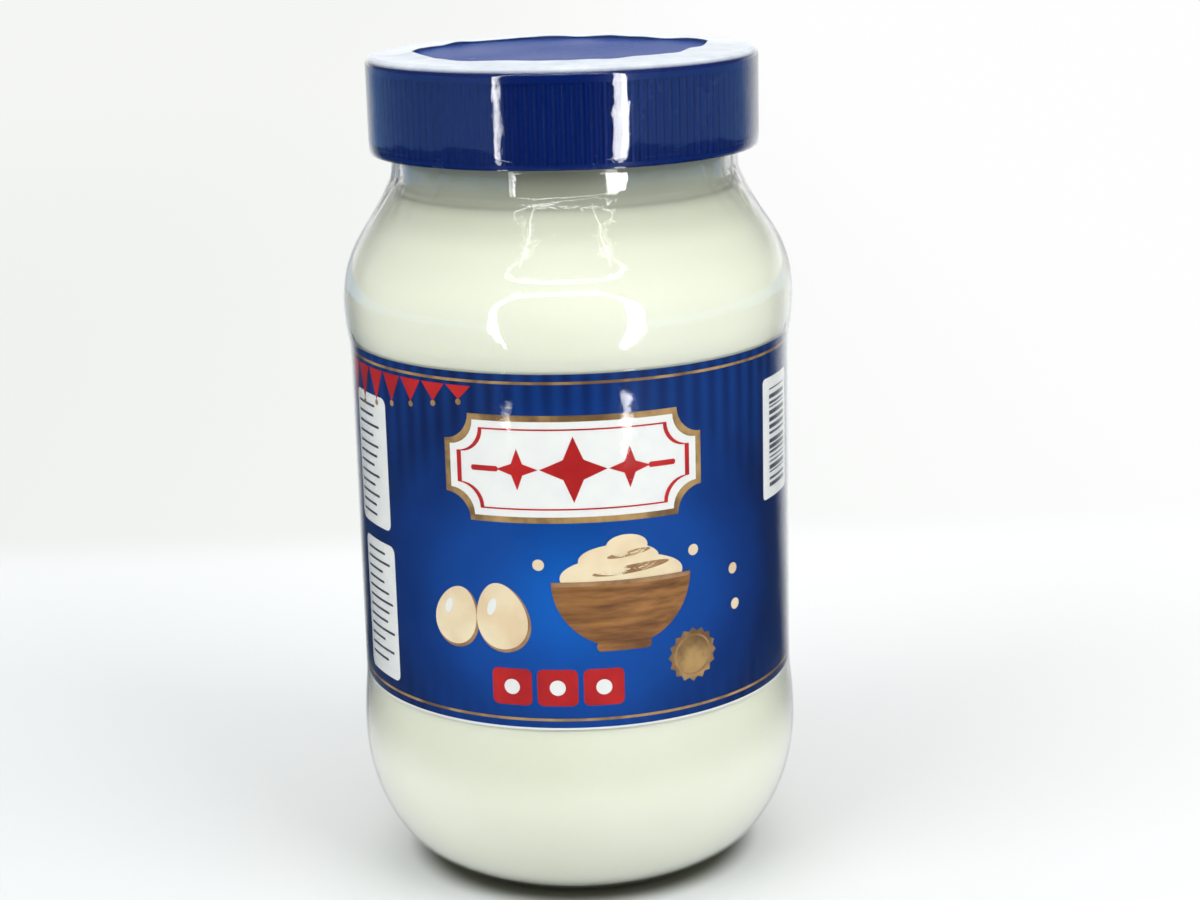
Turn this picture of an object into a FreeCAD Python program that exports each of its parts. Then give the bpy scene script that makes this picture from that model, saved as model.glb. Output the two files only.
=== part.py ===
"""Mayonnaise jar: clear plastic jar, filling, ribbed screw cap, wrap-round label, clear shrink film.

Millimetres, +Z up, origin at the middle of the foot that the jar stands on.
The pieces are bodies of revolution about Z.  Every outline is a constrained sketch
whose sizes are tied to the sheet "sizes".
"""
import math
import os

import FreeCAD, Part
import Sketcher

doc = FreeCAD.newDocument("mayonnaise_jar")

# ---------------------------------------------------------------- driving sizes

SIZES = [
    # jar, from the foot upward
    ("push_up", 3.5, "height of the hollow under the base"),
    ("foot_width", 2.3, "width of the flat standing ring round that hollow"),
    ("heel_round", 16.0, "radius of the heel, from the foot to the lower swell"),
    ("low_swell", 1.0, "how far the lower swell stands out from the label panel"),
    ("low_height", 23.1, "height of that swell's largest radius"),
    ("low_curve", 29.8, "curve of the side below it"),
    ("low_rise", 72.0, "gentler curve of the side above it"),
    ("panel_radius", 36.75, "radius of the recessed label panel"),
    ("panel_bottom", 33.8, "height of the panel's lower edge"),
    ("panel_height", 59.5, "height of the panel itself"),
    ("high_swell", 1.1, "how far the upper swell stands out from the panel"),
    ("high_above", 6.1, "height of that swell's largest radius above the panel"),
    ("high_rise", 48.0, "gentle curve of the side below it"),
    ("high_curve", 18.0, "curve of the shoulder above it"),
    ("shoulder_angle", 33.6, "slope of the shoulder, from the vertical, in degrees"),
    ("neck_inset", 9.65, "how far the neck is set in from the label panel"),
    ("ledge_width", 1.65, "width of the level ledge round the neck"),
    ("neck_blend", 0.8, "fillet between ledge and neck"),
    ("neck_shown", 5.45, "height of neck between ledge and cap"),
    ("wall", 0.8, "wall of the jar"),
    # finish under the cap
    ("finish_step", 1.6, "how far the finish stands out from the neck"),
    ("finish_above", 1.6, "start of the finish above the cap's lower edge"),
    ("thread_pitch", 4.2, "rise of the thread in one turn"),
    ("thread_margin", 1.2, "plain finish below and above the thread"),
    ("thread_depth", 1.1, "how far a thread stands out"),
    ("thread_root", 1.9, "width of a thread at its root"),
    ("thread_crest", 0.9, "width of a thread at its crest"),
    ("thread_sink", 0.3, "how deep a thread's section is rooted in its wall"),
    # cap
    ("cap_wall", 2.25, "thickness of the cap's side, ribs included"),
    ("cap_height", 15.65, "height of the cap"),
    ("cap_roof", 1.6, "thickness of the cap's top"),
    ("cap_round", 1.2, "rounding of the cap's top edge"),
    ("cap_bevel", 0.35, "bevel of the cap's lower edge"),
    ("cap_play", 0.3, "clearance between jar thread and cap bore"),
    ("seat_gap", 0.05, "clearance between the lip and the cap's roof"),
    ("rib_count", 140, "ribs round the cap"),
    ("flute_radius", 0.48, "radius of the flute between two ribs"),
    ("flute_depth", 0.38, "depth of a flute"),
    ("band_above", 2.3, "smooth band above the ribs"),
    ("band_below", 0.9, "smooth rim below the ribs"),
    # filling
    ("fill_gap", 0.1, "clearance between filling and jar"),
    ("headspace", 3.0, "free height between filling and lip"),
    # label
    ("label_gap", 0.05, "clearance between panel and label"),
    ("label_sheet", 0.12, "thickness of the label"),
    ("label_margin", 0.35, "bare panel above and below the label"),
    ("label_overlap", 12.0, "overlap of the label's ends at the back, in degrees"),
    # shrink film
    ("film_gap", 0.05, "clearance under the film"),
    ("film_sheet", 0.1, "thickness of the film"),
    ("film_hole", 23.5, "radius of the film's hole on top of the cap"),
    ("film_foot", 0.5, "height of the film's lower edge above the foot"),
    ("film_slack", 0.15, "how far outside the ledge the film spans the neck"),
    ("film_bend", 0.6, "bend of the film under the cap"),
]

sheet = doc.addObject("Spreadsheet::Sheet", "sizes")
for row, (alias, number, note) in enumerate(SIZES, start=1):
    sheet.set(f"A{row}", alias)
    sheet.set(f"B{row}", str(number))
    sheet.set(f"C{row}", note)
    sheet.setAlias(f"B{row}", alias)
doc.recompute()


class Size:
    """A number together with the expression on the sheet that gives it."""

    def __init__(self, number, text):
        self.number = float(number)
        self.text = text

    def __add__(self, other):
        other = as_size(other)
        return Size(self.number + other.number, f"({self.text} + {other.text})")

    def __sub__(self, other):
        other = as_size(other)
        return Size(self.number - other.number, f"({self.text} - {other.text})")

    def __mul__(self, other):
        other = as_size(other)
        return Size(self.number * other.number, f"({self.text} * {other.text})")

    def __truediv__(self, other):
        other = as_size(other)
        return Size(self.number / other.number, f"({self.text} / {other.text})")

    def root(self):
        return Size(math.sqrt(self.number), f"sqrt({self.text})")

    def cosine(self):
        return Size(math.cos(math.radians(self.number)), f"cos({self.text} * 1deg)")

    def sine(self):
        return Size(math.sin(math.radians(self.number)), f"sin({self.text} * 1deg)")


def as_size(value):
    """A plain number as a Size, and a Size as it is."""
    if isinstance(value, Size):
        return value
    return Size(value, str(value))


def size(alias):
    """The Size of one cell of the sheet."""
    return Size(sheet.get(alias), f"sizes.{alias}")


NOTHING = as_size(0)

# ---------------------------------------------------------------- derived places

panel_radius = size("panel_radius")
panel_top = size("panel_bottom") + size("panel_height")
low_radius = panel_radius + size("low_swell")
high_radius = panel_radius + size("high_swell")
high_height = panel_top + size("high_above")

heel_reach = size("low_curve") - size("heel_round")
heel_drop = size("low_height") - size("heel_round")
heel_middle = low_radius - size("low_curve") + (heel_reach * heel_reach - heel_drop * heel_drop).root()
foot_inner = heel_middle - size("foot_width")
push_curve = (foot_inner * foot_inner / size("push_up") + size("push_up")) * 0.5


def shoulder_crest(depth):
    """Radius and height where the shoulder's curve runs on into its slope, at a depth in the wall."""
    slope, reach = size("shoulder_angle"), size("high_curve") - depth
    across = high_radius - size("high_curve") + reach * slope.cosine()
    return across, high_height + reach * slope.sine()


neck_radius = panel_radius - size("neck_inset")
ledge_radius = neck_radius + size("ledge_width")
crest_radius, crest_height = shoulder_crest(NOTHING)
slope_rise = size("shoulder_angle").cosine() / size("shoulder_angle").sine()
ledge_height = crest_height + (crest_radius - ledge_radius) * slope_rise
film_neck = ledge_radius + size("film_slack")

cap_bottom = ledge_height + size("neck_shown")
cap_top = cap_bottom + size("cap_height")
lip_height = cap_top - size("cap_roof") - size("seat_gap")
finish_radius = neck_radius + size("finish_step")
finish_bottom = cap_bottom + size("finish_above")
finish_start = finish_bottom + size("finish_step")
thread_start = finish_start + size("thread_margin") + size("thread_root") * 0.5
thread_end = lip_height - size("thread_margin") - size("thread_root") * 0.5
thread_outer = finish_radius + size("thread_depth")
cap_bore = thread_outer + size("cap_play")
cap_radius = cap_bore + size("cap_wall")
fill_top = lip_height - size("headspace")
label_inner = panel_radius + size("label_gap")
label_outer = label_inner + size("label_sheet")


class Outline:
    """A sketch of lines and arcs in one of a body's upright planes, tied to the sheet."""

    START, END, CENTRE = 1, 2, 3
    ORIGIN = (-1, 1)
    AXIS = -2

    def __init__(self, body, name, plane="XZ_Plane"):
        self.sketch = body.newObject("Sketcher::SketchObject", name)
        self.sketch.AttachmentSupport = [(origin_feature(body, plane), "")]
        self.sketch.MapMode = "FlatFace"

    def line(self, start, end):
        ends = [FreeCAD.Vector(x, y, 0) for x, y in (start, end)]
        return self.sketch.addGeometry(Part.LineSegment(*ends), False)

    def arc(self, centre, radius, first, last):
        """An arc drawn anticlockwise between two angles in degrees."""
        circle = Part.Circle(FreeCAD.Vector(*centre, 0), FreeCAD.Vector(0, 0, 1), radius)
        ends = math.radians(first), math.radians(last)
        return self.sketch.addGeometry(Part.ArcOfCircle(circle, *ends), False)

    def rule(self, kind, *places):
        return self.sketch.addConstraint(Sketcher.Constraint(kind, *places))

    def tie(self, kind, places, value):
        number = self.rule(kind, *places, value.number)
        self.sketch.setExpression(f"Constraints[{number}]", value.text)

    def across(self, vertex, value):
        """Sets a vertex's distance from the axis."""
        self.tie("DistanceX", (*self.ORIGIN, *vertex), value)

    def up(self, vertex, value):
        """Sets a vertex's height."""
        if value.number == 0:
            self.rule("PointOnObject", *vertex, -1)
        else:
            self.tie("DistanceY", (*self.ORIGIN, *vertex), value)

    def at(self, vertex, across, up):
        self.across(vertex, across)
        self.up(vertex, up)

    def join(self, *vertices):
        self.rule("Coincident", *vertices[0], *vertices[1])

    def smooth(self, first, second):
        """Joins two ends so that one curve runs on into the other."""
        self.rule("Tangent", *first, *second)

    def path(self, points):
        """Straight lines through points given as pairs of Sizes; returns both loose ends."""
        edges = []
        for start, end in zip(points, points[1:]):
            edges.append(self.line([v.number for v in start], [v.number for v in end]))
        for before, after in zip(edges, edges[1:]):
            self.join((before, self.END), (after, self.START))
        for edge, (across, up) in zip(edges, points):
            self.at((edge, self.START), across, up)
        self.at((edges[-1], self.END), *points[-1])
        return (edges[0], self.START), (edges[-1], self.END)

    def bridge(self, first, second):
        """A straight line between two ends that other rules place."""
        ends = [self.sketch.getPoint(*vertex) for vertex in (first, second)]
        edge = self.line(*[(point.x, point.y) for point in ends])
        self.join((edge, self.START), first)
        self.join((edge, self.END), second)
        return edge


def origin_feature(body, role):
    for feature in body.Origin.OriginFeatures:
        if feature.Role == role:
            return feature
    raise RuntimeError(f"{body.Name} has no {role}")


def new_body(label):
    body = doc.addObject("PartDesign::Body", label)
    body.Label = label
    body.Placement = FreeCAD.Placement()
    return body


def revolve(body, outline, name, angle=360):
    turned = body.newObject("PartDesign::Revolution", name)
    turned.Profile = outline.sketch
    turned.ReferenceAxis = (outline.sketch, ["V_Axis"])
    turned.Angle = angle
    body.Tip = turned
    outline.sketch.Visibility = False
    return turned


# ---------------------------------------------------------------- the jar's side

class Side:
    """The curve that the jar's side follows, drawn at a depth below the jar's surface.

    A negative depth lies outside the jar.  panel is the radius on the label panel
    at that depth.  The ledges above and below the panel are level and as deep in the
    wall as the rest, unless ramp gives how far up the panel they slope.
    """

    def __init__(self, outline, depth, panel, ramp=None):
        self.outline = outline
        self.depth = depth
        self.panel = panel
        self.ramp = ramp or NOTHING
        sunk = NOTHING if ramp else depth
        self.panel_bottom = size("panel_bottom") - sunk
        self.panel_top = panel_top + sunk
        self.draw_low()
        self.draw_panel()
        self.draw_high()

    def draw_low(self):
        """Heel and lower swell, up to the panel's lower edge."""
        draw, depth = self.outline, self.depth
        heel = size("heel_round")
        low_height = size("low_height")
        low_curve, low_rise = size("low_curve"), size("low_rise")
        self.heel = draw.arc((heel_middle.number, heel.number), (heel - depth).number, 275, 328)
        self.low = draw.arc(
            ((low_radius - low_curve).number, low_height.number), (low_curve - depth).number, 328, 360)
        self.rise = draw.arc(
            ((low_radius - low_rise).number, low_height.number), (low_rise - depth).number, 0, 9)
        draw.smooth((self.heel, draw.END), (self.low, draw.START))
        draw.join((self.low, draw.END), (self.rise, draw.START))
        draw.tie("Radius", (self.heel,), heel - depth)
        draw.up((self.heel, draw.CENTRE), heel)
        draw.at((self.low, draw.CENTRE), low_radius - low_curve, low_height)
        draw.tie("Radius", (self.low,), low_curve - depth)
        draw.up((self.low, draw.END), low_height)
        draw.at((self.rise, draw.CENTRE), low_radius - low_rise, low_height)

    def draw_panel(self):
        """The label panel and the small ledges above and below it."""
        draw = self.outline
        start, self.panel_end = draw.path([
            (self.panel, self.panel_bottom + self.ramp),
            (self.panel, self.panel_top - self.ramp)])
        draw.up((self.rise, draw.END), self.panel_bottom)
        draw.bridge((self.rise, draw.END), start)

    def draw_high(self):
        """Upper swell and sloping shoulder; the shoulder's upper end stays loose."""
        draw, depth = self.outline, self.depth
        high_rise, high_curve, slope = size("high_rise"), size("high_curve"), size("shoulder_angle")
        self.fall = draw.arc(
            ((high_radius - high_rise).number, high_height.number), (high_rise - depth).number, 352, 360)
        self.high = draw.arc(
            ((high_radius - high_curve).number, high_height.number), (high_curve - depth).number,
            0, slope.number)
        crest = shoulder_crest(depth)
        run = (crest[0].number - slope.sine().number, crest[1].number + slope.cosine().number)
        self.slope = draw.line([v.number for v in crest], run)
        draw.bridge(self.panel_end, (self.fall, draw.START))
        draw.join((self.fall, draw.END), (self.high, draw.START))
        draw.at((self.fall, draw.CENTRE), high_radius - high_rise, high_height)
        draw.tie("Radius", (self.fall,), high_rise - depth)
        draw.up((self.fall, draw.START), self.panel_top)
        draw.up((self.fall, draw.END), high_height)
        draw.at((self.high, draw.CENTRE), high_radius - high_curve, high_height)
        draw.up((self.high, draw.END), crest[1])
        draw.smooth((self.high, draw.END), (self.slope, draw.START))

    def base(self):
        """The foot and the hollow under it, in to the axis; returns the end on the axis."""
        draw, depth = self.outline, self.depth
        push, curve = size("push_up"), push_curve
        heel_start = draw.sketch.getPoint(self.heel, draw.START)
        edge = draw.line((heel_start.x - 2, depth.number), (heel_start.x, depth.number))
        hollow = draw.arc((0, (push - curve).number), (curve + depth).number, 67, 90)
        draw.smooth((self.heel, draw.START), (edge, draw.END))
        draw.rule("Horizontal", edge)
        draw.join((hollow, draw.START), (edge, draw.START))
        draw.rule("PointOnObject", hollow, draw.CENTRE, draw.AXIS)
        draw.rule("PointOnObject", hollow, draw.END, draw.AXIS)
        draw.tie("DistanceY", (hollow, draw.CENTRE, *draw.ORIGIN), curve - push)
        draw.tie("Radius", (hollow,), curve + depth)
        return hollow, draw.END


def neck(side, radius):
    """The ledge and the start of the neck; returns the neck line, whose top stays loose."""
    draw, depth = side.outline, side.depth
    level = ledge_height - depth
    blend = size("neck_blend") + depth
    draw.up((side.slope, draw.END), level)
    slope_end = draw.sketch.getPoint(side.slope, draw.END)
    centre = (radius.number + blend.number, level.number + blend.number)
    ledge = draw.line((slope_end.x, level.number), (centre[0], level.number))
    curve = draw.arc(centre, blend.number, 180, 270)
    upright = draw.line((radius.number, centre[1]), (radius.number, centre[1] + 5))
    draw.join((side.slope, draw.END), (ledge, draw.START))
    draw.smooth((ledge, draw.END), (curve, draw.END))
    draw.smooth((curve, draw.START), (upright, draw.START))
    draw.rule("Horizontal", ledge)
    draw.rule("Vertical", upright)
    draw.tie("Radius", (curve,), blend)
    return upright


# ---------------------------------------------------------------- sub-parts

def thread(body, name, wall_radius, tip_radius, middle):
    """A helical ridge from a wall to its tip; the middle of its first section is at that height."""
    outline = Outline(body, f"{name}_section")
    root, crest, sink = size("thread_root"), size("thread_crest"), size("thread_sink")
    inward = tip_radius.number < wall_radius.number
    buried = wall_radius + sink if inward else wall_radius - sink
    half_root, half_crest = root * 0.5, crest * 0.5
    first, last = outline.path([
        (buried, middle - half_root),
        (wall_radius, middle - half_root),
        (tip_radius, middle - half_crest),
        (tip_radius, middle + half_crest),
        (wall_radius, middle + half_root),
        (buried, middle + half_root)])
    outline.bridge(last, first)
    ridge = body.newObject("PartDesign::AdditiveHelix", name)
    ridge.Profile = outline.sketch
    ridge.ReferenceAxis = (outline.sketch, ["V_Axis"])
    ridge.Mode = "pitch-turns-angle"
    ridge.setExpression("Pitch", "sizes.thread_pitch")
    ridge.setExpression("Turns", ((thread_end - thread_start) / size("thread_pitch")).text)
    body.Tip = ridge
    outline.sketch.Visibility = False
    return ridge


def make_jar():
    body = new_body("jar")
    outline = Outline(body, "jar_outline")
    wall = size("wall")
    outer = Side(outline, NOTHING, panel_radius)
    outer_foot = outer.base()
    outer_neck = neck(outer, neck_radius)
    inner = Side(outline, wall, panel_radius - wall)
    inner_foot = inner.base()
    bore = neck_radius - wall
    inner_neck = neck(inner, bore)
    outline.bridge(outer_foot, inner_foot)
    outer_top, inner_top = outline.path([
        (neck_radius, finish_bottom),
        (finish_radius, finish_start),
        (finish_radius, lip_height),
        (bore, lip_height)])
    outline.join((outer_neck, outline.END), outer_top)
    outline.join((inner_neck, outline.END), inner_top)
    revolve(body, outline, "jar_shell")
    thread(body, "jar_thread", finish_radius, thread_outer, thread_start)
    return body


def make_filling():
    body = new_body("mayonnaise")
    outline = Outline(body, "filling_outline")
    depth = size("wall") + size("fill_gap")
    side = Side(outline, depth, panel_radius - depth)
    foot = side.base()
    radius = neck_radius - depth
    upright = neck(side, radius)
    rim, centre = outline.path([(radius, fill_top), (NOTHING, fill_top)])
    outline.join((upright, outline.END), rim)
    outline.bridge(centre, foot)
    revolve(body, outline, "filling")
    return body


def make_cap():
    body = new_body("cap")
    outline = Outline(body, "cap_outline")
    rounding, bevel = size("cap_round"), size("cap_bevel")
    start, end = outline.path([
        (cap_radius, cap_top - rounding),
        (cap_radius, cap_bottom + bevel),
        (cap_radius - bevel, cap_bottom),
        (cap_bore, cap_bottom),
        (cap_bore, cap_top - size("cap_roof")),
        (NOTHING, cap_top - size("cap_roof")),
        (NOTHING, cap_top),
        (cap_radius - rounding, cap_top)])
    centre = (cap_radius - rounding, cap_top - rounding)
    edge = outline.arc([v.number for v in centre], rounding.number, 0, 90)
    outline.join((edge, outline.START), start)
    outline.join((edge, outline.END), end)
    outline.tie("Radius", (edge,), rounding)
    revolve(body, outline, "cap_shell")
    thread(body, "cap_thread", cap_bore, cap_bore - size("thread_depth"),
           thread_start - size("thread_pitch") * 0.5)
    cut_flutes(body)
    return body


def cut_flutes(body):
    """Upright flutes all round the cap's side; what stands between them is the ribs."""
    floor = body.newObject("Sketcher::SketchObject", "flute_outline")
    floor.AttachmentSupport = [(origin_feature(body, "XY_Plane"), "")]
    floor.MapMode = "FlatFace"
    bottom = cap_bottom + size("band_below")
    floor.setExpression("AttachmentOffset.Base.z", bottom.text)
    radius = size("flute_radius")
    centre = cap_radius + radius - size("flute_depth")
    middle = FreeCAD.Vector(centre.number, 0, 0)
    circle = floor.addGeometry(Part.Circle(middle, FreeCAD.Vector(0, 0, 1), radius.number), False)
    floor.addConstraint(Sketcher.Constraint("PointOnObject", circle, 3, -1))
    number = floor.addConstraint(Sketcher.Constraint("DistanceX", -1, 1, circle, 3, centre.number))
    floor.setExpression(f"Constraints[{number}]", centre.text)
    number = floor.addConstraint(Sketcher.Constraint("Radius", circle, radius.number))
    floor.setExpression(f"Constraints[{number}]", radius.text)
    flute = body.newObject("PartDesign::Pocket", "flute")
    flute.Profile = floor
    flute.Reversed = True
    flute.setExpression("Length", (size("cap_height") - size("band_above") - size("band_below")).text)
    body.Tip = flute
    ring = body.newObject("PartDesign::PolarPattern", "flutes")
    ring.Originals = [flute]
    ring.Axis = (origin_feature(body, "Z_Axis"), [""])
    ring.Angle = 360
    ring.setExpression("Occurrences", "sizes.rib_count")
    body.Tip = ring
    floor.Visibility = False


def make_label():
    """A sheet round the panel, with its ends lapped at the back, on +Y."""
    body = new_body("label")
    bottom = size("panel_bottom") + size("label_margin")
    top = panel_top - size("label_margin")
    lapped = label_outer + size("label_sheet")
    for name, inner, outer in (("wrap", label_inner, label_outer), ("lap", label_outer, lapped)):
        outline = Outline(body, f"{name}_outline", "YZ_Plane")
        root = inner - size("label_sheet") * 0.5 if name == "lap" else inner
        start, end = outline.path([(root, bottom), (outer, bottom), (outer, top), (root, top)])
        outline.bridge(end, start)
        turned = revolve(body, outline, name)
        if name == "lap":
            turned.Midplane = True
            turned.setExpression("Angle", "sizes.label_overlap")
    return body


def make_film():
    """Clear film shrunk over cap, neck, shoulder, label and heel, open on top of the cap."""
    body = new_body("film")
    outline = Outline(body, "film_outline")
    faces = []
    for depth in (size("film_gap"), size("film_gap") + size("film_sheet")):
        faces.append(film_face(outline, depth))
    (inner_foot, inner_top), (outer_foot, outer_top) = faces
    outline.bridge(inner_foot, outer_foot)
    outline.bridge(inner_top, outer_top)
    revolve(body, outline, "film_skin")
    return body


def film_face(outline, out):
    """One face of the film, at a distance out from what it lies on; returns its two ends."""
    draw = outline
    side = Side(outline, NOTHING - out, label_outer + size("label_sheet") + out, size("label_margin"))
    draw.up((side.heel, draw.START), size("film_foot"))
    upright_radius = film_neck + out - size("film_gap")
    draw.across((side.slope, draw.END), upright_radius)
    # up the neck, out under the cap, round its lower edge and up its side
    bend, bevel, rounding = size("film_bend"), size("cap_bevel"), size("cap_round")
    inside = bend - out
    tuck_centre = (upright_radius + inside, cap_bottom - bend)
    corner_centre = (cap_radius - bevel, cap_bottom + bevel)
    edge_centre = (cap_radius - rounding, cap_top - rounding)
    side_radius = (cap_radius + out).number
    slope_end = draw.sketch.getPoint(side.slope, draw.END)
    upright = draw.line((upright_radius.number, slope_end.y), (upright_radius.number, tuck_centre[1].number))
    tuck = draw.arc([v.number for v in tuck_centre], inside.number, 90, 180)
    under = draw.line((tuck_centre[0].number, (cap_bottom - out).number),
                      (corner_centre[0].number, (cap_bottom - out).number))
    corner = draw.arc([v.number for v in corner_centre], (bevel + out).number, 270, 360)
    upside = draw.line((side_radius, corner_centre[1].number), (side_radius, edge_centre[1].number))
    edge = draw.arc([v.number for v in edge_centre], (rounding + out).number, 0, 90)
    roof = draw.line((edge_centre[0].number, (cap_top + out).number),
                     (size("film_hole").number, (cap_top + out).number))
    draw.join((side.slope, draw.END), (upright, draw.START))
    draw.smooth((upright, draw.END), (tuck, draw.END))
    draw.smooth((tuck, draw.START), (under, draw.START))
    draw.smooth((under, draw.END), (corner, draw.START))
    draw.smooth((corner, draw.END), (upside, draw.START))
    draw.smooth((upside, draw.END), (edge, draw.START))
    draw.smooth((edge, draw.END), (roof, draw.START))
    draw.rule("Vertical", upright)
    draw.rule("Horizontal", under)
    draw.rule("Vertical", upside)
    draw.rule("Horizontal", roof)
    draw.tie("Radius", (tuck,), inside)
    draw.at((corner, draw.CENTRE), *corner_centre)
    draw.tie("Radius", (corner,), bevel + out)
    draw.at((edge, draw.CENTRE), *edge_centre)
    draw.across((roof, draw.END), size("film_hole"))
    return (side.heel, draw.START), (roof, draw.END)


# ---------------------------------------------------------------- build, check and write

pieces = [make_jar(), make_filling(), make_cap(), make_label(), make_film()]
doc.recompute()

faults = []
for item in doc.Objects:
    if "Invalid" in item.State or "Error" in item.State:
        faults.append(f"{item.Name}: {item.State}")
    if item.TypeId == "Sketcher::SketchObject" and not item.FullyConstrained:
        faults.append(f"{item.Name}: not fully constrained")
for piece in pieces:
    if piece.Shape.isNull() or not piece.Shape.isValid() or len(piece.Shape.Solids) != 1:
        faults.append(f"{piece.Label}: no single valid solid")
if faults:
    raise SystemExit("\n".join(faults))

os.makedirs("parts", exist_ok=True)
for piece in pieces:
    piece.Shape.exportStep(f"parts/{piece.Label}.step")
    print(f"{piece.Label}: {piece.Shape.Volume:.1f} mm3, {len(piece.Shape.Faces)} faces")
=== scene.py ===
"""Mayonnaise jar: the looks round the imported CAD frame.

Metres, +Z up, the jar stands on the origin and the camera looks along +Y.
Sizes below are in millimetres and turned into metres by MM where a mesh or lamp is made.
"""
import math
import random

import bmesh
import bpy
from mathutils import Matrix, Vector, noise


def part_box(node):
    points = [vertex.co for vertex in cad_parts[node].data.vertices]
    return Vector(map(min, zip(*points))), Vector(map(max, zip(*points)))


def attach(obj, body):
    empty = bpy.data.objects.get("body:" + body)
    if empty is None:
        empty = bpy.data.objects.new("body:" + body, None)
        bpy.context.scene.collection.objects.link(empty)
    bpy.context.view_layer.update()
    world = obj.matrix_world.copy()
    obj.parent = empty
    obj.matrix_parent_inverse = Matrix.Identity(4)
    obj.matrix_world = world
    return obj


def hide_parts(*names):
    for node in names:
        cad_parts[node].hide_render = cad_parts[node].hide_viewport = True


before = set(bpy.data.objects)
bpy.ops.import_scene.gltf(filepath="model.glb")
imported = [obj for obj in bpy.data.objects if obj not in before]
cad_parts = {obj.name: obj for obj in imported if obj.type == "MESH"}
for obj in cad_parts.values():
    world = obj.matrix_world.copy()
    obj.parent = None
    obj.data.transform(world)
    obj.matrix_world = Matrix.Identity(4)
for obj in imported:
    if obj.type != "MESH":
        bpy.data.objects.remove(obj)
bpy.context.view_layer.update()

MM = 0.001
TURN = 2 * math.pi


# ---------------------------------------------------------------- outlines cut from the frame

def section(node):
    """The outline of a turned CAD node on its +X side, as (radius, height) in mm, in order."""
    cut_mesh = bmesh.new()
    cut_mesh.from_mesh(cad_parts[node].data)
    bmesh.ops.remove_doubles(cut_mesh, verts=cut_mesh.verts, dist=1e-7)
    everything = cut_mesh.verts[:] + cut_mesh.edges[:] + cut_mesh.faces[:]
    cut = bmesh.ops.bisect_plane(cut_mesh, geom=everything, plane_co=(0, 0, 0), plane_no=(0, 1, 0))
    links = {}
    for edge in cut["geom_cut"]:
        if isinstance(edge, bmesh.types.BMEdge) and min(v.co.x for v in edge.verts) > MM:
            for vertex in edge.verts:
                links.setdefault(vertex, []).append(edge)
    start = max(links, key=lambda v: (round(v.co.z, 7), -v.co.x))
    outline, vertex, came_by = [], start, None
    while True:
        place = (vertex.co.x / MM, vertex.co.z / MM)
        if not outline or math.dist(place, outline[-1]) > 0.01:
            outline.append(place)
        onward = [e for e in links[vertex] if e is not came_by]
        if not onward:
            break
        came_by = onward[0]
        vertex = came_by.other_vert(vertex)
        if vertex is start:
            break
    cut_mesh.free()
    return outline


def outer_side(outline):
    """The part of a shell's outline on its outside, from its top to its foot."""
    foot = min(range(len(outline)), key=lambda i: (round(outline[i][1], 2), -outline[i][0]))
    sides = [outline[:foot + 1], [outline[0]] + outline[:foot - 1:-1]]
    return max(sides, key=lambda side: max(radius for radius, _ in side))


def walk(path, step):
    """The path again, with a point every step (a function of height) along it."""
    places = [path[0]]
    owed = 0.0
    for (r0, z0), (r1, z1) in zip(path, path[1:]):
        length = math.dist((r0, z0), (r1, z1))
        done = 0.0
        while owed + length - done >= step(places[-1][1]):
            done += step(places[-1][1]) - owed
            owed = 0.0
            share = done / length
            places.append((r0 + (r1 - r0) * share, z0 + (z1 - z0) * share))
        owed += length - done
    if math.dist(places[-1], path[-1]) > 0.05:
        places.append(path[-1])
    return places


def relax(path, passes, free):
    """The path with its points averaged with their neighbours, where free(height) is true."""
    for _ in range(passes):
        path = [path[0]] + [
            tuple((a + 2 * b + c) / 4 for a, b, c in zip(before, here, after)) if free(here[1]) else here
            for before, here, after in zip(path, path[1:], path[2:])
        ] + [path[-1]]
    return path


def normals(path):
    """The outward unit normal at each point of a path that runs downward."""
    result = []
    for i in range(len(path)):
        (r0, z0), (r1, z1) = path[max(i - 1, 0)], path[min(i + 1, len(path) - 1)]
        length = math.dist((r0, z0), (r1, z1))
        result.append(((z0 - z1) / length, (r1 - r0) / length))
    return result


# ---------------------------------------------------------------- meshes

def piece(name, points, faces, material, replaces=(), sharp=30):
    """A smooth-shaded mesh piece that rides on the jar's one body."""
    mesh = bpy.data.meshes.new(name)
    mesh.from_pydata([Vector(p) * MM for p in points], [], faces)
    mesh.validate()
    cleaned = bmesh.new()
    cleaned.from_mesh(mesh)
    bmesh.ops.recalc_face_normals(cleaned, faces=cleaned.faces)
    cleaned.to_mesh(mesh)
    cleaned.free()
    made = bpy.data.objects.new(name, mesh)
    bpy.context.scene.collection.objects.link(made)
    mesh.polygons.foreach_set("use_smooth", [True] * len(mesh.polygons))
    mesh.set_sharp_from_angle(angle=math.radians(sharp))
    mesh.materials.append(material)
    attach(made, "root")
    if replaces:
        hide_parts(*replaces)


def turned(rows, around, place):
    """Points and faces of a closed ring of rows; place(row, angle) gives each point."""
    points = [place(row, TURN * k / around) for row in rows for k in range(around)]
    count = len(rows)
    faces = [
        (
            i * around + k,
            i * around + (k + 1) % around,
            (i + 1) % count * around + (k + 1) % around,
            (i + 1) % count * around + k,
        )
        for i in range(count)
        for k in range(around)
    ]
    return points, faces


def polar(radius, angle, height):
    """Angle 0 faces the camera (-Y) and grows to its right (+X)."""
    return (radius * math.sin(angle), -radius * math.cos(angle), height)


def wrapped(angle):
    """The same angle between minus and plus half a turn."""
    return (angle + math.pi) % TURN - math.pi


def bell(distance, width):
    return math.exp(-(distance / width) ** 2)


def rise(low, high, value):
    """0 below low, 1 above high, smooth between."""
    share = min(max((value - low) / (high - low), 0), 1)
    return share * share * (3 - 2 * share)


# ---------------------------------------------------------------- materials

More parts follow.
